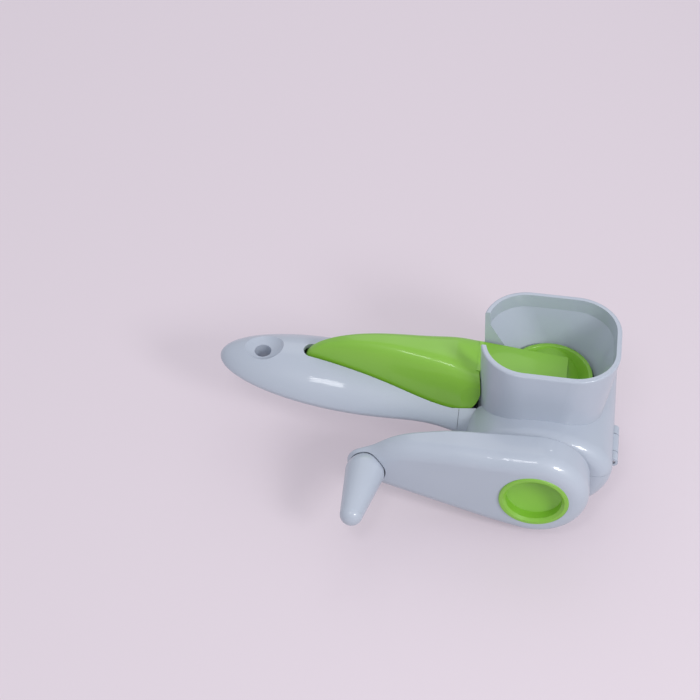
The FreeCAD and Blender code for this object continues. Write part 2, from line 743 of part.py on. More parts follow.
def funnel():
    """The funnel's and the well's own wall, before their inside is taken out."""
    wall = rod_z(PAD_R + WELL_GAP + WALL, HOPPER_FOOT_Z, FUNNEL_FOOT_Z, PAD_X)
    form = funnel_form(WALL * 0.9, WALL).fuse(wall)
    for y0 in (-SLOT_HALF - CHEEK, SLOT_HALF):
        form = form.fuse(box(-RIM_X, PAD_X, y0, y0 + CHEEK, HOPPER_FOOT_Z, FUNNEL_TOP_Z))
    return form.common(hopper_form(WALL / 2, HOPPER_FOOT_Z, FUNNEL_TOP_Z))


def pad_swing():
    """The path of the pad's rim seen from the lid as it lifts, turned about the hinge."""
    profile = []
    steps = 10
    radius = PAD_R + GAP
    for i in range(-steps, steps + 1):
        angle = math.pi / 2 * i / steps
        reach = HINGE_X - PAD_X + radius * math.cos(angle)
        profile.append((math.hypot(reach, PAD_RIM_Z) + GAP, radius * math.sin(angle)))
    curve = Part.BSplineCurve()
    curve.interpolate([V(r, y, 0) for r, y in profile])
    first = V(profile[0][0], profile[0][1], 0)
    last = V(profile[-1][0], profile[-1][1], 0)
    rim = [curve.toShape(), Part.makeLine(last, V(0, last.y, 0)),
           Part.makeLine(V(0, last.y, 0), V(0, first.y, 0)), Part.makeLine(V(0, first.y, 0), first)]
    swing = Part.Face(Part.Wire(rim)).revolve(ORIGIN, Y_AXIS, 360)
    swing.translate(V(HINGE_X, 0, 0))
    return swing.common(box(-RIM_X, PAD_X, -RIM_Y, RIM_Y, 0, PAD_RIM_Z))


def pocket_walls(outer):
    """Walls along both sides of the lever's pocket where it crosses the lid."""
    walls = []
    for side in (-1, 1):
        y0 = OPENING_FRONT_HALF if side > 0 else -OPENING_FRONT_HALF - WALL
        wall = box(TOP_END_X - 1, hopper_rear_x(0) + WALL, y0, y0 + WALL, 0, FAR_AWAY)
        walls.append(wall.common(outer))
    return walls


def hopper_lid():
    """Hopper, cover and the wings beside the lever, in one moulding that hinges at the nose."""
    up = box(-FAR_AWAY, FAR_AWAY, -FAR_AWAY, FAR_AWAY, SEAM, FAR_AWAY)
    rear = box(TOP_END_X + SEAM / 2, FAR_AWAY, -FAR_AWAY, FAR_AWAY, -FAR_AWAY, FAR_AWAY)
    cover = cover_form()
    wings = handle_form().common(rear).common(up)
    outer = cover.fuse(wings)
    shell = outer.cut(cover_form(WALL)).cut(handle_form(WALL).common(rear).cut(cover))
    collar = rod_y(RING_R + OUTLET_WALL, HOUSING_FAR - OUTLET_LENGTH, HOUSING_FAR)
    near_boss = rod_y(HUB_JOURNAL_R + BEARING_WALL, HOUSING_NEAR + 1, HOUSING_NEAR + BEARING_LENGTH)
    for piece in pocket_walls(outer) + [near_boss, collar]:
        shell = shell.fuse(piece)
    shell = shell.common(up)
    tube = hopper_form(0, HOPPER_FOOT_Z, RIM_Z)
    tube = tube.makeFillet(RIM_ROUND, edges_in_plane(tube, "Z", RIM_Z))
    inside = hopper_form(WALL, HOPPER_FOOT_Z - 1, RIM_Z + 1)
    shell = shell.cut(lever_opening()).fuse(tube).cut(inside).fuse(funnel()).cut(hopper_void())
    shell = shell.cut(pad_swing())
    shell = shell.fuse(hinge_barrel(knuckle_gap_near() + GAP, knuckle_gap_far() - GAP))
    for y0, y1 in ((HINGE_NEAR, knuckle_gap_near()), (knuckle_gap_far(), HINGE_FAR)):
        shell = shell.cut(hinge_barrel(y0 - GAP, y1 + GAP, KNUCKLE_R + GAP))
    shell = shell.cut(rod_y(HINGE_PIN_R + JOURNAL_PLAY, HINGE_NEAR, HINGE_FAR, HINGE_X, 0))
    shell = shell.cut(box(-RIM_X - 5, 0, -SLOT_HALF, SLOT_HALF, -5, RIM_Z + 5))
    shell = shell.cut(rod_y(HUB_JOURNAL_R + JOURNAL_PLAY, HOUSING_NEAR - 5, DRUM_NEAR))
    shell = shell.cut(rod_y(DRUM_R + DRUM_ROOM, DRUM_NEAR - HUB_FLANGE - GAP, RING_START))
    shell = shell.cut(rod_y(RING_R + JOURNAL_PLAY, RING_START - GAP, HOUSING_FAR + 5))
    return shell.removeSplitter()


# ---- lever pieces ---------------------------------------------------------------------------
def press_lever_shell():
    """The green lever: a hollow hull, its pivot boss and the arm that carries the pad."""
    hollow = box(PIVOT_X + 5, lever_front_x() - LEVER_WALL, -30, 30, -10, 60)
    hull = lever_body().common(lever_opening(GAP))
    hull = hull.cut(lever_body(LEVER_WALL, 1.0).common(hollow)).cut(lever_toe_cut())
    hull = hull.cut(hopper_form(-GAP, 0.0, RIM_Z))
    arm = arm_form().cut(arm_hollow())
    floor = rod_y(DRUM_R + DRUM_GAP + PAD_WALL, -30, 30)
    lever = hull.fuse(arm).cut(floor)
    lever = lever.cut(rod_y(PIVOT_PIN_R + JOURNAL_PLAY, -10, 10, PIVOT_X, PIVOT_Z))
    return lever.removeSplitter()


def arm_hollow():
    return box(LEVER_TOE.x + 1.5, -20.0, -ARM_HALF + LEVER_WALL, ARM_HALF - LEVER_WALL,
               ARM_BOTTOM - 1, ARM_TOP_START - LEVER_WALL)


def press_pad():
    """The pad that pushes the cheese: a cup whose floor follows the drum."""
    cup = rod_z(PAD_R, PAD_FOOT_Z, PAD_RIM_Z, PAD_X)
    under = rod_y(DRUM_R + DRUM_GAP, -2 * PAD_R, 2 * PAD_R)
    over = rod_y(DRUM_R + DRUM_GAP + PAD_WALL, -2 * PAD_R, 2 * PAD_R)
    bowl = Part.makeCone(PAD_BOWL_R, PAD_R - PAD_LIP, PAD_RIM_Z - PAD_FOOT_Z, V(PAD_X, 0, PAD_FOOT_Z))
    hollow = bowl.cut(over)
    pad = cup.cut(under).cut(hollow)
    rim = curved(edges_in_plane(pad, "Z", PAD_RIM_Z))
    pad = pad.makeFillet(0.6, rim)
    return pad.cut(arm_form()).removeSplitter()


# ---- drum and crank -------------------------------------------------------------------------
def grating_drum():
    """The steel drum: a rolled sheet with rings of punched, raised teeth."""
    drum = rod_y(DRUM_R, DRUM_NEAR, DRUM_FAR)
    drum = drum.cut(rod_y(DRUM_R - DRUM_SHEET, DRUM_NEAR - 1, DRUM_FAR + 1))
    first = DRUM_NEAR + TOOTH_START
    pitch = (DRUM_FAR - TOOTH_END - first) / (DRUM_ROWS - 1)
    holes = []
    for row in range(DRUM_ROWS):
        y = first + row * pitch
        for column in range(DRUM_COLUMNS):
            turn = 360.0 / DRUM_COLUMNS * (column + 0.5 * (row % 2))
            hole = prism_xy([(-TOOTH_SLIT / 2, 0), (0, -TOOTH_HOLE / 2), (TOOTH_SLIT / 2, 0),
                             (0, TOOTH_HOLE / 2)], DRUM_R - 2, DRUM_R + 2)
            hole.translate(V(0, y, 0))
            hole.rotate(ORIGIN, Y_AXIS, turn)
            holes.append(hole)
    return drum.cut(Part.makeCompound(holes))


def drum_rear_ring():
    """The green ring at the open end; it runs in the outlet collar and carries the sheet."""
    lip = HOUSING_FAR + GAP
    return turned_y([(RING_BORE, DRUM_FAR), (DRUM_R, DRUM_FAR), (DRUM_R, RING_START),
                     (RING_R, RING_START), (RING_R, lip), (RING_LIP_R, lip),
                     (RING_LIP_R, lip + RING_LIP), (RING_BORE, lip + RING_LIP)])


def drum_front_hub():
    """Green hub: it plugs the drum, runs in the split bearing and drives the cup."""
    flange = DRUM_NEAR - HUB_FLANGE
    inner = DRUM_R - DRUM_SHEET
    end = CRANK_FRONT + CUP_DEPTH - DRIVE_DEPTH + GAP
    bore = HUB_JOURNAL_R - HUB_WALL
    socket = DRIVE_FLAT - HUB_SPIGOT_WALL
    hub = turned_y([(bore, DRUM_NEAR + HUB_SPIGOT - HUB_SPIGOT_WALL),
                    (inner - HUB_SPIGOT_WALL, DRUM_NEAR),
                    (inner - HUB_SPIGOT_WALL, DRUM_NEAR + HUB_SPIGOT), (inner, DRUM_NEAR + HUB_SPIGOT),
                    (inner, DRUM_NEAR), (HUB_FLANGE_R, DRUM_NEAR), (HUB_FLANGE_R, flange),
                    (HUB_JOURNAL_R, flange), (HUB_JOURNAL_R, CRANK_BACK - CRANK_COVER),
                    (DRIVE_R, CRANK_BACK - CRANK_COVER), (DRIVE_R, end), (0, end),
                    (0, end + HUB_WALL), (socket, end + HUB_WALL),
                    (socket, CRANK_BACK), (bore, CRANK_BACK)])
    for side in (-1, 1):
        x0 = DRIVE_FLAT if side > 0 else -2 * DRIVE_R
        x1 = 2 * DRIVE_R if side > 0 else -DRIVE_FLAT
        hub = hub.cut(box(x0, x1, end - 1, CRANK_BACK - CRANK_COVER, -2 * DRIVE_R, 2 * DRIVE_R))
    return hub


def drive_hole(y0, y1):
    hole = rod_y(DRIVE_R + DRIVE_PLAY, y0, y1)
    half = DRIVE_FLAT + DRIVE_PLAY
    return hole.common(box(-half, half, y0, y1, -2 * DRIVE_R, 2 * DRIVE_R))


def crank_hub_cup():
    """The green cup in the crank's head; the hub's two flats turn it from behind."""
    floor = CRANK_FRONT + CUP_DEPTH
    lip = CRANK_FRONT - CUP_PROUD
    step = lip + CUP_STEP
    dish = (CUP_BORE ** 2 + CUP_DISH ** 2) / (2 * CUP_DISH)
    cup = turned_y([(0, floor), (CUP_R, floor), (CUP_R, lip + 0.5), (CUP_R - 0.5, lip),
                    (CUP_BORE + CUP_LIP_ROUND, lip), (CUP_BORE, lip + CUP_LIP_ROUND),
                    (CUP_BORE, step), (0, step)])
    bowl = Part.makeSphere(dish, V(0, step + CUP_DISH - dish, 0))
    cup = cup.cut(bowl.common(rod_y(CUP_BORE, step - 1, floor)))
    boss = DRIVE_R + CUP_WALL
    pocket = rod_y(CUP_R - CUP_WALL, step + CUP_WALL, floor + 1).cut(rod_y(boss, lip, floor + 2))
    skin = Part.makeSphere(dish + CUP_WALL, V(0, step + CUP_DISH - dish, 0))
    return cup.cut(pocket.cut(skin)).cut(drive_hole(floor - DRIVE_DEPTH, floor + 1))


def leaned(shape):
    """Turns a shape about the knob's ball, so that it stands square on the sloping arm."""
    copy = shape.copy()
    copy.rotate(V(-CRANK_THROW, KNOB_WIDE_Y, 0), V(0, 0, 1), -KNOB_LEAN)
    return copy


def knob_rod(radius, y0, y1):
    return leaned(rod_y(radius, y0, y1, -CRANK_THROW, 0))


def knob_ball(offset):
    """The knob's ball-shaped back and the room in front of it, larger by offset all round."""
    radius = KNOB_BASE_R + offset
    ball = Part.makeSphere(radius, V(-CRANK_THROW, KNOB_WIDE_Y, 0))
    room = rod_y(radius, KNOB_WIDE_Y - 20, KNOB_WIDE_Y, -CRANK_THROW, 0)
    room = room.fuse(ball)
    keep = rod_y(2 * radius, KNOB_WIDE_Y - 20, KNOB_BASE_Y + offset, -CRANK_THROW, 0)
    return leaned(room.common(keep))


def axle_seat():
    return KNOB_BASE_Y + GAP + SOCKET_WALL


def crank_shell():
    """The white crank: head and arm in one hollow moulding, open at the back."""
    outer = crank_outer()
    shell = outer.cut(crank_form(WALL))
    floor = CRANK_FRONT + CUP_DEPTH
    socket = rod_y(CUP_R + CUP_WALL, CRANK_FRONT, floor)
    inner = outer.cut(crank_back_trim(-CRANK_COVER))
    boss = knob_rod(AXLE_HEAD_R + SOCKET_WALL, KNOB_WIDE_Y, CRANK_BACK)
    hug = knob_ball(GAP + SOCKET_WALL)
    shell = shell.fuse(socket.common(outer)).fuse(boss.fuse(hug).common(inner))
    shell = shell.cut(rod_y(CUP_R, CRANK_FRONT - 5, floor))
    shell = shell.cut(knob_ball(GAP))
    shell = shell.cut(knob_rod(AXLE_R, KNOB_TIP, CRANK_BACK))
    shell = shell.cut(knob_rod(AXLE_HEAD_R, axle_seat(), CRANK_BACK))
    return shell.removeSplitter()


def crank_back_cover():
    """The plate let into the crank's open back."""
    plate = crank_form(WALL + COVER_PLAY).common(crank_back_trim(-CRANK_COVER))
    plate = plate.cut(rod_y(HUB_JOURNAL_R + COVER_PLAY, CRANK_BACK - 5, CRANK_BACK + 5))
    return plate.cut(knob_rod(AXLE_HEAD_R, axle_seat() - 1, axle_seat() + AXLE_HEAD + COVER_PLAY))


def knob_axle():
    """A rivet-like axle: its head lies in the crank, its barb holds the knob."""
    seat = axle_seat()
    tip = KNOB_TIP + AXLE_SHORT
    barb = tip + AXLE_BARB_LENGTH
    head_r = AXLE_HEAD_R - COVER_PLAY
    axle = turned_y([(0, seat + AXLE_HEAD), (head_r, seat + AXLE_HEAD), (head_r, seat), (AXLE_R, seat),
                     (AXLE_R, barb), (AXLE_R + AXLE_BARB, barb), (AXLE_R, tip), (0, tip)],
                    -CRANK_THROW, 0)
    return leaned(axle)


def crank_knob():
    """The tapered knob with a domed tip and a ball-shaped back, free to turn on its axle."""
    end = KNOB_TIP + AXLE_SHORT - GAP
    barb = KNOB_TIP + AXLE_SHORT + AXLE_BARB_LENGTH + GAP
    bore_r = AXLE_R + JOURNAL_PLAY
    back = KNOB_BASE_Y - KNOB_WIDE_Y
    foot = V(math.sqrt(KNOB_BASE_R ** 2 - back ** 2), KNOB_BASE_Y, 0)
    wide = V(KNOB_BASE_R, KNOB_WIDE_Y, 0)
    half_root = math.sqrt(0.5)
    middle = V(KNOB_BASE_R * 0.92, KNOB_WIDE_Y + KNOB_BASE_R * math.sqrt(1 - 0.92 ** 2), 0)
    shoulder = V(KNOB_TIP_R, KNOB_TIP + KNOB_TIP_R, 0)
    tip = V(0, KNOB_TIP, 0)
    tip_middle = V(KNOB_TIP_R * half_root, shoulder.y - KNOB_TIP_R * half_root, 0)
    inside = [V(0, end, 0), V(bore_r + AXLE_BARB, end, 0), V(bore_r + AXLE_BARB, barb, 0),
              V(bore_r, barb, 0), V(bore_r, KNOB_BASE_Y, 0), foot]
    edges = [Part.makeLine(tip, inside[0])]
    for i in range(len(inside) - 1):
        edges.append(Part.makeLine(inside[i], inside[i + 1]))
    edges.append(Part.Arc(foot, middle, wide).toShape())
    edges.append(Part.makeLine(wide, shoulder))
    edges.append(Part.Arc(shoulder, tip_middle, tip).toShape())
    knob = Part.Face(Part.Wire(edges)).revolve(ORIGIN, Y_AXIS, 360)
    knob.translate(V(-CRANK_THROW, 0, 0))
    return leaned(knob)


PIECES = {
    "body_lower_shell": body_lower_shell,
    "handle_top_shell": handle_top_shell,
    "handle_screws": handle_screws,
    "lever_pivot_pin": lever_pivot_pin,
    "lid_hinge_pin": lid_hinge_pin,
    "hopper_lid": hopper_lid,
    "press_lever_shell": press_lever_shell,
    "press_pad": press_pad,
    "grating_drum": grating_drum,
    "drum_rear_ring": drum_rear_ring,
    "drum_front_hub": drum_front_hub,
    "crank_hub_cup": crank_hub_cup,
    "crank_shell": crank_shell,
    "crank_back_cover": crank_back_cover,
    "knob_axle": knob_axle,
    "crank_knob": crank_knob,
}


def main():
    os.makedirs("parts", exist_ok=True)
    for name, make in PIECES.items():
        shape = make()
        shape.translate(LIFT)
        shape.exportStep("parts/" + name + ".step")
        print(name, len(shape.Solids), "solids", round(shape.Volume, 1), shape.isValid())


main()
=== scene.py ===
import math

import bmesh
import bpy
from mathutils import Matrix, Vector


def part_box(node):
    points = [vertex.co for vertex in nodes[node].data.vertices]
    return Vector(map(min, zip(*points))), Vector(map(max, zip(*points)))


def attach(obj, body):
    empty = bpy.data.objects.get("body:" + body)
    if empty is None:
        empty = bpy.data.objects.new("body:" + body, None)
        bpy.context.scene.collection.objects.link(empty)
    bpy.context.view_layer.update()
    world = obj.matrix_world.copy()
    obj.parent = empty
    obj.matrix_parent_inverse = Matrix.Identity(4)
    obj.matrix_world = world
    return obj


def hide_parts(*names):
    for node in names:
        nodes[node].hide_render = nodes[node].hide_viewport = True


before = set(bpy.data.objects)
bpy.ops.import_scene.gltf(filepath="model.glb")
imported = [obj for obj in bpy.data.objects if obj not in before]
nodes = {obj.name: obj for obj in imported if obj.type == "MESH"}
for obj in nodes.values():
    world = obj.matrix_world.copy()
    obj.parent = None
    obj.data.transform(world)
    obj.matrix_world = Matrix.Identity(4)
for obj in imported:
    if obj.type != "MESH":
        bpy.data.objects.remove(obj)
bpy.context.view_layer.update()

# Rotary cheese grater: white and green mouldings, a steel grating drum and steel pins.
# Everything is in metres, with the moulded foot on z = 0.


# ---- sizes ----------------------------------------------------------------------------------
MM = 0.001

# grain of the finishes, in patches or lines per metre
CLOUD_GRAIN = 22.0         # flow clouds in the plastic
RUB_GRAIN = 95.0           # patches that handling has rubbed
SKIN_GRAIN = 260.0         # waves of a moulded skin
DRAWN_GRAIN = 2600.0       # lines in the drum's sheet
TURNED_GRAIN = 3200.0      # turning marks on pins and screws
NOISE_LOW = 0.3            # noise seldom leaves the range between these two
NOISE_HIGH = 0.7

# gloss of the plastic
RUBBED_SMOOTHER = 0.04
UNRUBBED_ROUGHER = 0.05
PLASTIC_IOR = 1.53
POLISH_ROUGHNESS = 0.06
SKIN_STRENGTH = 0.02
SKIN_DEPTH = 0.3 * MM

# lines that can be felt in the drum's sheet
DRAWN_STRENGTH = 0.08
DRAWN_DEPTH = 0.2 * MM

# drum teeth
DRUM_ROWS = 10
DRUM_COLUMNS = 16
TOOTH_START = 5.0 * MM     # from the drum's near edge to the first ring of teeth
TOOTH_END = 9.0 * MM       # from the last ring of teeth to the far edge
TOOTH_HALF_LENGTH = 1.6 * MM
TOOTH_HALF_WIDTH = 1.0 * MM
TOOTH_RISE = 0.5 * MM      # height of a petal over the sheet
TOOTH_ROOT = 0.1 * MM      # depth by which the rim sits in the sheet
TOOTH_FLARE = 1.5          # reach of the swelling round a hole, in sizes of the hole
SHEET_WALL = 0.5 * MM
BURR_POINTS = 8            # four corners of the hole and four petals between them
PETAL_REACH = 0.72         # distance of a petal's middle, as a share of a corner's
PETAL_INSIDE = 0.92        # a petal's inner edge, in sizes of the hole
PETAL_OUTSIDE = 1.08       # its outer edge
PETAL_SHOULDER = 0.85      # height of the outer edge, as a share of the rise

# handle's screws
SCREW_ROOT = 1.12 * MM
SCREW_CREST = 1.4 * MM
SCREW_PITCH = 1.15 * MM
SCREW_POINT = 1.2 * MM     # length of the tapered end
SCREW_TIP = 0.2 * MM       # length of the blunt tip on that end
SCREW_TIP_WIDTH = 0.45     # share of the root's radius where the tip starts
SCREW_STEPS = 32
HEAD_LEAST = 0.3 * MM      # a head is thicker than this
PAN_HEAD = (               # crown to flat side, in shares of the head's radius and height
    (0.55, 1.0), (0.84, 0.86), (0.98, 0.5), (1.0, 0.15), (0.97, 0.0),
)
THREAD_STEPS = 20          # steps in a turn; the thread fades out over one turn
THREAD_START = 0.5 * MM    # from the head to the thread
THREAD_END = 1.0 * MM      # from the thread to the tip
THREAD_SUNK = 0.94         # radius of the ridge's foot, as a share of the root's
THREAD_LEAST = 0.05        # share of its height that the ridge keeps at its ends
RIDGE_FOOT = 0.36          # half the ridge's width at its foot, in pitches
RIDGE_TOP = 0.04           # half its width at the crest
CROSS_DEPTH = 0.75         # share of the head's height
CROSS_MOUTH = (2.9 * MM, 0.62 * MM)    # length and width of each bar at the crown
CROSS_BOTTOM = (1.3 * MM, 0.4 * MM)
CROSS_OUTSIDE = 0.3 * MM   # the cutter reaches this far out of the head

# floor
FLOOR_SEEN = (0.83, 0.735, 0.80)
FLOOR_BOUNCE = (0.58, 0.55, 0.57)
FLOOR_GLOW = (0.695, 0.612, 0.681)
FLOOR_EVENNESS = 0.4       # how much of what is seen of the floor is glow
FLOOR_ROUGHNESS = 0.9
FLOOR_HALF = 12.0
FLOOR_BELOW = 0.5 * MM     # clear of the foot

# light: name, place, side of the lamp and watts
ROOM_COLOUR = (0.86, 0.88, 0.95)
ROOM_STRENGTH = 0.65
LAMP_AIM = (-0.06, 0.0, 0.03)
LAMPS = (
    ("key", (0.56, -0.54, 0.60), 0.24, 3.6),
    ("front", (-0.12, -0.47, 0.76), 0.16, 0.8),
    ("back", (-0.16, 0.58, 0.66), 0.60, 0.9),
)

# camera: degrees to the right of the tool's near side and above the floor, lens in millimetres
CAMERA_TURN = 9.116
CAMERA_HEIGHT = 45.287
CAMERA_PLACE = (-0.01385, -0.48884, 0.55249)
CAMERA_LENS = 77.14
CAMERA_FRAME = 36.0


# ---- node helpers ---------------------------------------------------------------------------
def new_material(name):
    material = bpy.data.materials.new(name)
    material.use_nodes = True
    return material, material.node_tree, material.node_tree.nodes["Principled BSDF"]


def place_coordinates(tree, stretch=(1, 1, 1)):
    """Object coordinates, stretched along an axis where a finish has a direction."""
    where = tree.nodes.new("ShaderNodeTexCoord")
    mapping = tree.nodes.new("ShaderNodeMapping")
    mapping.inputs["Scale"].default_value = stretch
    tree.links.new(where.outputs["Object"], mapping.inputs["Vector"])
    return mapping.outputs["Vector"]


def noise(tree, vector, grain, detail):
    texture = tree.nodes.new("ShaderNodeTexNoise")
    texture.inputs["Scale"].default_value = grain
    texture.inputs["Detail"].default_value = detail
    tree.links.new(vector, texture.inputs["Vector"])
    return texture.outputs["Fac"]


def spread(tree, value, low, high):
    """Stretches a noise value over the range from low to high."""
    ranged = tree.nodes.new("ShaderNodeMapRange")
    ranged.inputs["From Min"].default_value = NOISE_LOW
    ranged.inputs["From Max"].default_value = NOISE_HIGH
    ranged.inputs["To Min"].default_value = low
    ranged.inputs["To Max"].default_value = high
    tree.links.new(value, ranged.inputs["Value"])
    return ranged.outputs["Result"]


def tint(tree, value, dark, light):
    mix = tree.nodes.new("ShaderNodeMix")
    mix.data_type = "RGBA"
    mix.inputs["A"].default_value = (*dark, 1)
    mix.inputs["B"].default_value = (*light, 1)
    tree.links.new(value, mix.inputs["Factor"])
    return mix.outputs["Result"]


def dents(tree, height, shader, strength, depth):
    bump = tree.nodes.new("ShaderNodeBump")
    bump.inputs["Strength"].default_value = strength
    bump.inputs["Distance"].default_value = depth
    tree.links.new(height, bump.inputs["Height"])
    tree.links.new(bump.outputs["Normal"], shader.inputs["Normal"])


# ---- finishes -------------------------------------------------------------------------------
def moulded_plastic(name, dark, light, roughness, coat):
    """Glossy moulded plastic: faint flow clouds, a rubbed gloss and a barely wavy skin."""
    material, tree, shader = new_material(name)
    place = place_coordinates(tree)
    clouds = spread(tree, noise(tree, place, CLOUD_GRAIN, detail=2.0), 0.0, 1.0)
    tree.links.new(tint(tree, clouds, dark, light), shader.inputs["Base Color"])
    rubbed = spread(tree, noise(tree, place, RUB_GRAIN, detail=4.0),
                    roughness - RUBBED_SMOOTHER, roughness + UNRUBBED_ROUGHER)
    tree.links.new(rubbed, shader.inputs["Roughness"])
    shader.inputs["IOR"].default_value = PLASTIC_IOR
    shader.inputs["Coat Weight"].default_value = coat
    shader.inputs["Coat Roughness"].default_value = POLISH_ROUGHNESS
    skin = noise(tree, place, SKIN_GRAIN, detail=1.0)
    dents(tree, skin, shader, SKIN_STRENGTH, SKIN_DEPTH)
    return material


def marked_steel(name, stretch, grain, dark, light, smoothest, roughest, felt=False):
    """Bright steel with fine marks that run along the axes of the smallest stretch."""
    material, tree, shader = new_material(name)
    marks = noise(tree, place_coordinates(tree, stretch), grain, detail=2.0)
    colour = tint(tree, spread(tree, marks, 0.0, 1.0), dark, light)
    tree.links.new(colour, shader.inputs["Base Color"])
    tree.links.new(spread(tree, marks, smoothest, roughest), shader.inputs["Roughness"])
    shader.inputs["Metallic"].default_value = 1.0
    if felt:
        dents(tree, marks, shader, DRAWN_STRENGTH, DRAWN_DEPTH)
    return material


def rolled_steel():
    """The drum's sheet, with lines drawn along the drum's axis that can be felt."""
    return marked_steel("rolled steel", (1.0, 0.04, 1.0), DRAWN_GRAIN,
                        dark=(0.50, 0.51, 0.53), light=(0.66, 0.67, 0.69),
                        smoothest=0.29, roughest=0.40, felt=True)


def turned_steel():
    """Pins and screws: plated steel with fine turning marks."""
    return marked_steel("turned steel", (0.2, 1.0, 0.2), TURNED_GRAIN,
                        dark=(0.48, 0.48, 0.50), light=(0.62, 0.62, 0.63),
                        smoothest=0.29, roughest=0.42)


WHITE = moulded_plastic("white moulding", dark=(0.462, 0.51, 0.592), light=(0.495, 0.54, 0.622),
                        roughness=0.44, coat=0.55)
GREEN = moulded_plastic("green moulding", dark=(0.222, 0.505, 0.034), light=(0.25, 0.54, 0.042),
                        roughness=0.44, coat=0.5)
NYLON = moulded_plastic("axle nylon", dark=(0.60, 0.60, 0.57), light=(0.66, 0.66, 0.62),
                        roughness=0.45, coat=0.0)
SHEET = rolled_steel()
PLATED = turned_steel()

FINISHES = {
    "body_lower_shell": WHITE, "handle_top_shell": WHITE, "hopper_lid": WHITE,
    "crank_shell": WHITE, "crank_back_cover": WHITE, "crank_knob": WHITE,
    "press_lever_shell": GREEN, "press_pad": GREEN, "drum_rear_ring": GREEN,
    "drum_front_hub": GREEN, "crank_hub_cup": GREEN, "knob_axle": NYLON,
    "grating_drum": SHEET, "handle_screws": PLATED, "lever_pivot_pin": PLATED,
    "lid_hinge_pin": PLATED,
}
for node, finish in FINISHES.items():
    nodes[node].data.materials.clear()
    nodes[node].data.materials.append(finish)


# ---- pieces grown by node trees -------------------------------------------------------------
def new_tree(name, inputs):
    """A geometry node tree that takes a mesh and named sizes, and gives a mesh."""
    tree = bpy.data.node_groups.new(name, "GeometryNodeTree")
    tree.interface.new_socket("Geometry", in_out="INPUT", socket_type="NodeSocketGeometry")
    tree.interface.new_socket("Geometry", in_out="OUTPUT", socket_type="NodeSocketGeometry")
    for label, kind in inputs:
        tree.interface.new_socket(label, in_out="INPUT", socket_type="NodeSocket" + kind)
    return tree, tree.nodes.new("NodeGroupInput"), tree.nodes.new("NodeGroupOutput")


def reckon(tree, operation, first, second=0.0, third=None):
    """One step of reckoning in a tree; each value is a socket or a plain number."""
    step = tree.nodes.new("ShaderNodeMath")
    step.operation = operation
    for socket, value in zip(step.inputs, (first, second, third)):
        if isinstance(value, bpy.types.NodeSocket):
            tree.links.new(value, socket)
        elif value is not None:
            socket.default_value = value
    return step.outputs[0]


def stamp_copies(tree, points, given, result, finish, rotation=None):
    """Puts the given mesh on each point, as real geometry with its finish."""
    copies = tree.nodes.new("GeometryNodeInstanceOnPoints")
    real = tree.nodes.new("GeometryNodeRealizeInstances")
    skin = tree.nodes.new("GeometryNodeSetMaterial")
    skin.inputs["Material"].default_value = finish
    tree.links.new(points.outputs["Points"], copies.inputs["Points"])
    tree.links.new(given.outputs["Geometry"], copies.inputs["Instance"])
    if rotation:
        tree.links.new(rotation, copies.inputs["Rotation"])
    tree.links.new(copies.outputs["Instances"], real.inputs["Geometry"])
    tree.links.new(real.outputs["Geometry"], skin.inputs["Geometry"])
    tree.links.new(skin.outputs["Geometry"], result.inputs["Geometry"])


def grown(name, mesh, tree, values, body):
    """Runs a tree on a mesh with the given values and keeps what it grows as a plain piece."""
    piece = bpy.data.objects.new(name, mesh)
    bpy.context.scene.collection.objects.link(piece)
    modifier = piece.modifiers.new("grow", "NODES")
    modifier.node_group = tree
    for socket in tree.interface.items_tree:
        if socket.in_out == "INPUT" and socket.name in values:
            modifier[socket.identifier] = values[socket.name]
    depsgraph = bpy.context.evaluated_depsgraph_get()
    plain = bpy.data.meshes.new_from_object(piece.evaluated_get(depsgraph))
    piece.modifiers.clear()
    piece.data = plain
    plain.name = name
    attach(piece, body)
    return piece


# ---- drum teeth -----------------------------------------------------------------------------
def face_outwards(mesh):
    shape = bmesh.new()
    shape.from_mesh(mesh)
    bmesh.ops.remove_doubles(shape, verts=shape.verts, dist=1e-4 * MM)
    bmesh.ops.recalc_face_normals(shape, faces=shape.faces)
    shape.to_mesh(mesh)
    shape.free()


def burr_ring(widen, corner_rise, petal_rise, drum_radius):
    """Points round a hole, corners and petals in turn, bent down with the drum's curve."""
    ring = []
    for step in range(BURR_POINTS):
        turn = 2 * math.pi * step / BURR_POINTS
        petal = step % 2
        reach = widen * (PETAL_REACH if petal else 1.0)
        x = TOOTH_HALF_WIDTH * reach * math.cos(turn)
        y = TOOTH_HALF_LENGTH * reach * math.sin(turn)
        z = (petal_rise if petal else corner_rise) - x * x / (2 * drum_radius)
        ring.append((x, y, z))
    return ring


def burr_mesh(drum_radius):
    """One punched hole's rim: the sheet swells, splits at its corners and stands up in petals."""
    rings = [
        burr_ring(1.0, -SHEET_WALL, -SHEET_WALL, drum_radius),
        burr_ring(PETAL_INSIDE, 0.0, TOOTH_RISE, drum_radius),
        burr_ring(PETAL_OUTSIDE, 0.0, TOOTH_RISE * PETAL_SHOULDER, drum_radius),
        burr_ring(TOOTH_FLARE, -TOOTH_ROOT, -TOOTH_ROOT, drum_radius),
    ]
    faces = []
    for level in range(len(rings)):
        here = level * BURR_POINTS
        above = (level + 1) % len(rings) * BURR_POINTS
        for step in range(BURR_POINTS):
            after = (step + 1) % BURR_POINTS
            faces.append((here + step, above + step, above + after, here + after))
    mesh = bpy.data.meshes.new("burr")
    mesh.from_pydata([point for ring in rings for point in ring], [], faces)
    face_outwards(mesh)
    return mesh


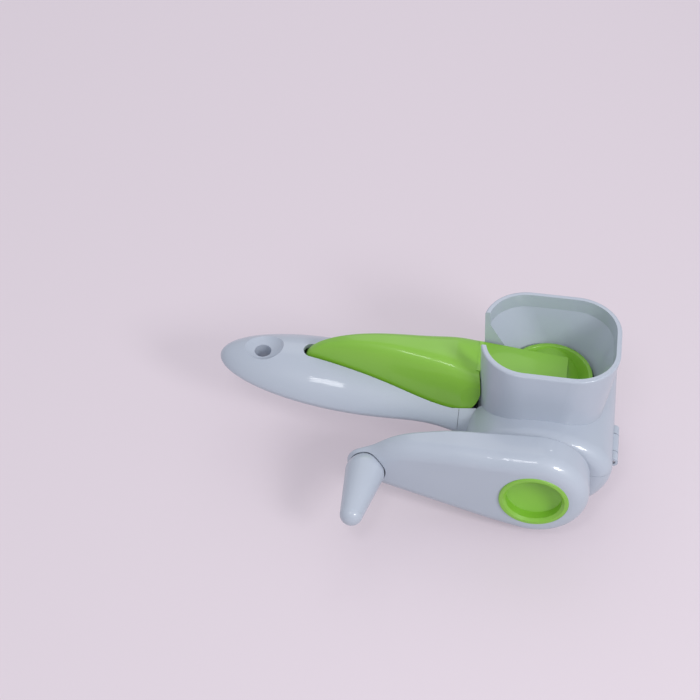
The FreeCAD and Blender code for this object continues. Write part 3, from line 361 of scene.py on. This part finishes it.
def teeth_tree():
    """Rings of teeth round the drum, every second ring turned by half a tooth."""
    tree, given, result = new_tree("drum teeth", (
        ("Rows", "Int"), ("Columns", "Int"), ("Drum radius", "Float"), ("Drum height", "Float"),
        ("First row", "Float"), ("Row pitch", "Float")))
    columns = given.outputs["Columns"]
    radius = given.outputs["Drum radius"]
    points = tree.nodes.new("GeometryNodePoints")
    tree.links.new(reckon(tree, "MULTIPLY", given.outputs["Rows"], columns), points.inputs["Count"])
    index = tree.nodes.new("GeometryNodeInputIndex").outputs["Index"]
    row = reckon(tree, "FLOOR", reckon(tree, "DIVIDE", index, columns))
    column = reckon(tree, "MODULO", index, columns)
    half_step = reckon(tree, "MULTIPLY", reckon(tree, "MODULO", row, 2.0), 0.5)
    turn = reckon(tree, "MULTIPLY", reckon(tree, "ADD", column, half_step),
                  reckon(tree, "DIVIDE", 2 * math.pi, columns))
    place = tree.nodes.new("ShaderNodeCombineXYZ")
    x = reckon(tree, "MULTIPLY", reckon(tree, "SINE", turn), radius)
    y = reckon(tree, "MULTIPLY_ADD", row, given.outputs["Row pitch"], given.outputs["First row"])
    z = reckon(tree, "MULTIPLY_ADD", reckon(tree, "COSINE", turn), radius,
               given.outputs["Drum height"])
    tree.links.new(x, place.inputs["X"])
    tree.links.new(y, place.inputs["Y"])
    tree.links.new(z, place.inputs["Z"])
    tree.links.new(place.outputs["Vector"], points.inputs["Position"])
    lean = tree.nodes.new("ShaderNodeCombineXYZ")
    tree.links.new(turn, lean.inputs["Y"])
    stamp_copies(tree, points, given, result, SHEET, lean.outputs["Vector"])
    return tree


def drum_teeth():
    """The raised rims of all the drum's holes, which turn with the crank."""
    low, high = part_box("grating_drum")
    radius = (high[0] - low[0]) / 2
    first = low[1] + TOOTH_START
    values = {
        "Rows": DRUM_ROWS,
        "Columns": DRUM_COLUMNS,
        "Drum radius": radius,
        "Drum height": (high[2] + low[2]) / 2,
        "First row": first,
        "Row pitch": (high[1] - TOOTH_END - first) / (DRUM_ROWS - 1),
    }
    grown("drum_teeth", burr_mesh(radius), teeth_tree(), values, "crank")


# ---- screws ---------------------------------------------------------------------------------
def ring_of_points(shape, radius, height):
    """Points round the upright axis, or the one point on it."""
    if radius == 0:
        return [shape.verts.new((0, 0, height))]
    ring = []
    for step in range(SCREW_STEPS):
        turn = 2 * math.pi * step / SCREW_STEPS
        ring.append(shape.verts.new((radius * math.cos(turn), radius * math.sin(turn), height)))
    return ring


def revolve(shape, outline):
    """Turns an outline of (radius, height) points about the upright axis into a closed skin."""
    rings = [ring_of_points(shape, radius, height) for radius, height in outline]
    for below, above in zip(rings, rings[1:]):
        for step in range(SCREW_STEPS):
            after = (step + 1) % SCREW_STEPS
            corners = [below[step % len(below)], below[after % len(below)],
                       above[after % len(above)], above[step % len(above)]]
            shape.faces.new(list(dict.fromkeys(corners)))


def screw_blank(head_radius, head_height, length):
    """The pan head and the shank with its point, as one turned solid."""
    outline = [(0, -head_height)]
    outline += [(head_radius * out, -head_height * up) for out, up in PAN_HEAD]
    outline += [(SCREW_ROOT, 0), (SCREW_ROOT, length - SCREW_POINT),
                (SCREW_ROOT * SCREW_TIP_WIDTH, length - SCREW_TIP), (0, length)]
    blank = bmesh.new()
    revolve(blank, outline)
    bmesh.ops.recalc_face_normals(blank, faces=blank.faces)
    return blank


def cross_cutter(head_height):
    """The driver's cross: two bars that narrow towards its bottom."""
    cutter = bmesh.new()
    for turn in (0, math.pi / 2):
        bar = bmesh.ops.create_cube(cutter, size=1.0)["verts"]
        for vertex in bar:
            inner = vertex.co.z > 0
            length, width = CROSS_BOTTOM if inner else CROSS_MOUTH
            depth = CROSS_DEPTH * head_height if inner else -CROSS_OUTSIDE
            vertex.co.x *= length
            vertex.co.y *= width
            vertex.co.z = depth - head_height
        bmesh.ops.rotate(cutter, verts=bar, cent=(0, 0, 0),
                         matrix=Matrix.Rotation(turn, 3, "Z"))
    return cutter


def thread_ridge(start, end):
    """A ridge wound round the shank, fading out into it at both ends."""
    total = int((end - start) / SCREW_PITCH * THREAD_STEPS)
    foot = SCREW_ROOT * THREAD_SUNK
    ridge = bmesh.new()
    sections = []
    for step in range(total + 1):
        turn = 2 * math.pi * step / THREAD_STEPS
        middle = start + SCREW_PITCH * step / THREAD_STEPS
        height = min(1.0, step / THREAD_STEPS, (total - step) / THREAD_STEPS)
        crest = SCREW_ROOT + (SCREW_CREST - SCREW_ROOT) * max(height, THREAD_LEAST)
        section = []
        for radius, lift in ((foot, -RIDGE_FOOT), (crest, -RIDGE_TOP),
                             (crest, RIDGE_TOP), (foot, RIDGE_FOOT)):
            section.append(ridge.verts.new((radius * math.cos(turn), radius * math.sin(turn),
                                            middle + lift * SCREW_PITCH)))
        sections.append(section)
    for before, after in zip(sections, sections[1:]):
        for side in range(len(before)):
            following = (side + 1) % len(before)
            ridge.faces.new((before[side], before[following], after[following], after[side]))
    ridge.faces.new(sections[0][::-1])
    ridge.faces.new(sections[-1])
    bmesh.ops.recalc_face_normals(ridge, faces=ridge.faces)
    return ridge


def kept_mesh(name, shape):
    mesh = bpy.data.meshes.new(name)
    shape.to_mesh(mesh)
    shape.free()
    return mesh


def cut_away(blank, cutter):
    """The first mesh without the room that the second takes."""
    pieces = [bpy.data.objects.new(mesh.name, mesh) for mesh in (blank, cutter)]
    for piece in pieces:
        bpy.context.scene.collection.objects.link(piece)
    cut = pieces[0].modifiers.new("cut", "BOOLEAN")
    cut.operation = "DIFFERENCE"
    cut.solver = "EXACT"
    cut.use_self = True
    cut.object = pieces[1]
    depsgraph = bpy.context.evaluated_depsgraph_get()
    mesh = bpy.data.meshes.new_from_object(pieces[0].evaluated_get(depsgraph))
    for piece in pieces:
        bpy.data.objects.remove(piece)
    return mesh


def screw_mesh(head_radius, head_height, length):
    """A pan-head screw standing on its head, the head's flat side on z = 0."""
    blank = kept_mesh("screw blank", screw_blank(head_radius, head_height, length))
    cross = kept_mesh("driver's cross", cross_cutter(head_height))
    mesh = cut_away(blank, cross)
    ridge = kept_mesh("thread", thread_ridge(THREAD_START, length - THREAD_END))
    shape = bmesh.new()
    shape.from_mesh(mesh)
    shape.from_mesh(ridge)
    shape.to_mesh(mesh)
    shape.free()
    return mesh


def screws_tree(places):
    """The same screw at each named place."""
    tree, given, result = new_tree("handle screws", [(label, "Vector") for label in places])
    points = tree.nodes.new("GeometryNodePoints")
    points.inputs["Count"].default_value = len(places)
    chosen = tree.nodes.new("GeometryNodeIndexSwitch")
    chosen.data_type = "VECTOR"
    while len(chosen.index_switch_items) < len(places):
        chosen.index_switch_items.new()
    index = tree.nodes.new("GeometryNodeInputIndex")
    tree.links.new(index.outputs["Index"], chosen.inputs["Index"])
    for number, label in enumerate(places):
        tree.links.new(given.outputs[label], chosen.inputs[str(number)])
    tree.links.new(chosen.outputs["Output"], points.inputs["Position"])
    stamp_copies(tree, points, given, result, PLATED)
    return tree


def separate_solids(node):
    """The points of a part, as one list for each of its solids."""
    part = bmesh.new()
    part.from_mesh(nodes[node].data)
    bmesh.ops.remove_doubles(part, verts=part.verts, dist=0.001 * MM)
    left = set(part.verts)
    solids = []
    while left:
        front = [left.pop()]
        points = []
        while front:
            vertex = front.pop()
            points.append(vertex.co.copy())
            for edge in vertex.link_edges:
                other = edge.other_vert(vertex)
                if other in left:
                    left.discard(other)
                    front.append(other)
        solids.append(points)
    part.free()
    return solids


def measured_screw(points):
    """Where a screw's head seats, and its head's radius and height and its shank's length."""
    low = [min(point[axis] for point in points) for axis in range(3)]
    high = [max(point[axis] for point in points) for axis in range(3)]
    seat = min(point.z for point in points if point.z > low[2] + HEAD_LEAST)
    place = ((low[0] + high[0]) / 2, (low[1] + high[1]) / 2, seat)
    return place, ((high[0] - low[0]) / 2, seat - low[2], high[2] - seat)


def handle_screws():
    """Three equal screws under the handle, from its tail forwards."""
    screws = sorted(measured_screw(points) for points in separate_solids("handle_screws"))
    values = dict(zip(("Tail screw", "Near screw", "Far screw"), [place for place, _ in screws]))
    mesh = screw_mesh(*screws[0][1])
    piece = grown("pan_head_screws", mesh, screws_tree(list(values)), values, "body")
    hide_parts("handle_screws")


drum_teeth()
handle_screws()


# ---- floor, light and camera ----------------------------------------------------------------
def floor_finish():
    """What the eye and the gloss see of the floor is paler and more even than what it lights."""
    material, tree, shader = new_material("pale floor")
    shader.inputs["Roughness"].default_value = FLOOR_ROUGHNESS
    path = tree.nodes.new("ShaderNodeLightPath")
    seen = reckon(tree, "MAXIMUM", path.outputs["Is Camera Ray"], path.outputs["Is Glossy Ray"])
    seen = reckon(tree, "MAXIMUM", seen, path.outputs["Is Transmission Ray"])
    tree.links.new(tint(tree, seen, FLOOR_BOUNCE, FLOOR_SEEN), shader.inputs["Base Color"])
    glow = tree.nodes.new("ShaderNodeEmission")
    glow.inputs["Color"].default_value = (*FLOOR_GLOW, 1)
    blend = tree.nodes.new("ShaderNodeMixShader")
    tree.links.new(reckon(tree, "MULTIPLY", seen, FLOOR_EVENNESS), blend.inputs["Fac"])
    tree.links.new(shader.outputs["BSDF"], blend.inputs[1])
    tree.links.new(glow.outputs["Emission"], blend.inputs[2])
    tree.links.new(blend.outputs["Shader"], tree.nodes["Material Output"].inputs["Surface"])
    return material


def studio_floor():
    mesh = bpy.data.meshes.new("studio_floor")
    corners = [(-FLOOR_HALF, -FLOOR_HALF, 0), (FLOOR_HALF, -FLOOR_HALF, 0),
               (FLOOR_HALF, FLOOR_HALF, 0), (-FLOOR_HALF, FLOOR_HALF, 0)]
    mesh.from_pydata(corners, [], [(0, 1, 2, 3)])
    mesh.materials.append(floor_finish())
    floor = bpy.data.objects.new("studio_floor", mesh)
    floor.location.z = -FLOOR_BELOW
    bpy.context.scene.collection.objects.link(floor)


def softbox(name, place, side, watts):
    light = bpy.data.lights.new(name, "AREA")
    light.energy = watts
    light.size = side
    lamp = bpy.data.objects.new(name, light)
    lamp.location = place
    away = Vector(place) - Vector(LAMP_AIM)
    lamp.rotation_euler = away.to_track_quat("Z", "Y").to_euler()
    bpy.context.scene.collection.objects.link(lamp)


def studio_light():
    world = bpy.data.worlds.new("studio")
    world.use_nodes = True
    room = world.node_tree.nodes["Background"]
    room.inputs["Color"].default_value = (*ROOM_COLOUR, 1)
    room.inputs["Strength"].default_value = ROOM_STRENGTH
    bpy.context.scene.world = world
    for name, place, side, watts in LAMPS:
        softbox(name, place, side, watts)


def near_side_camera():
    """Looks down on the crank's side of the tool."""
    lens = bpy.data.cameras.new("camera")
    lens.lens = CAMERA_LENS
    lens.sensor_width = CAMERA_FRAME
    turn = math.radians(CAMERA_TURN)
    height = math.radians(CAMERA_HEIGHT)
    back = Vector((math.sin(turn) * math.cos(height), -math.cos(turn) * math.cos(height),
                   math.sin(height)))
    camera = bpy.data.objects.new("camera", lens)
    camera.location = CAMERA_PLACE
    camera.rotation_euler = back.to_track_quat("Z", "Y").to_euler()
    bpy.context.scene.collection.objects.link(camera)
    bpy.context.scene.camera = camera


studio_floor()
studio_light()
near_side_camera()
bpy.context.scene.view_settings.view_transform = "Standard"
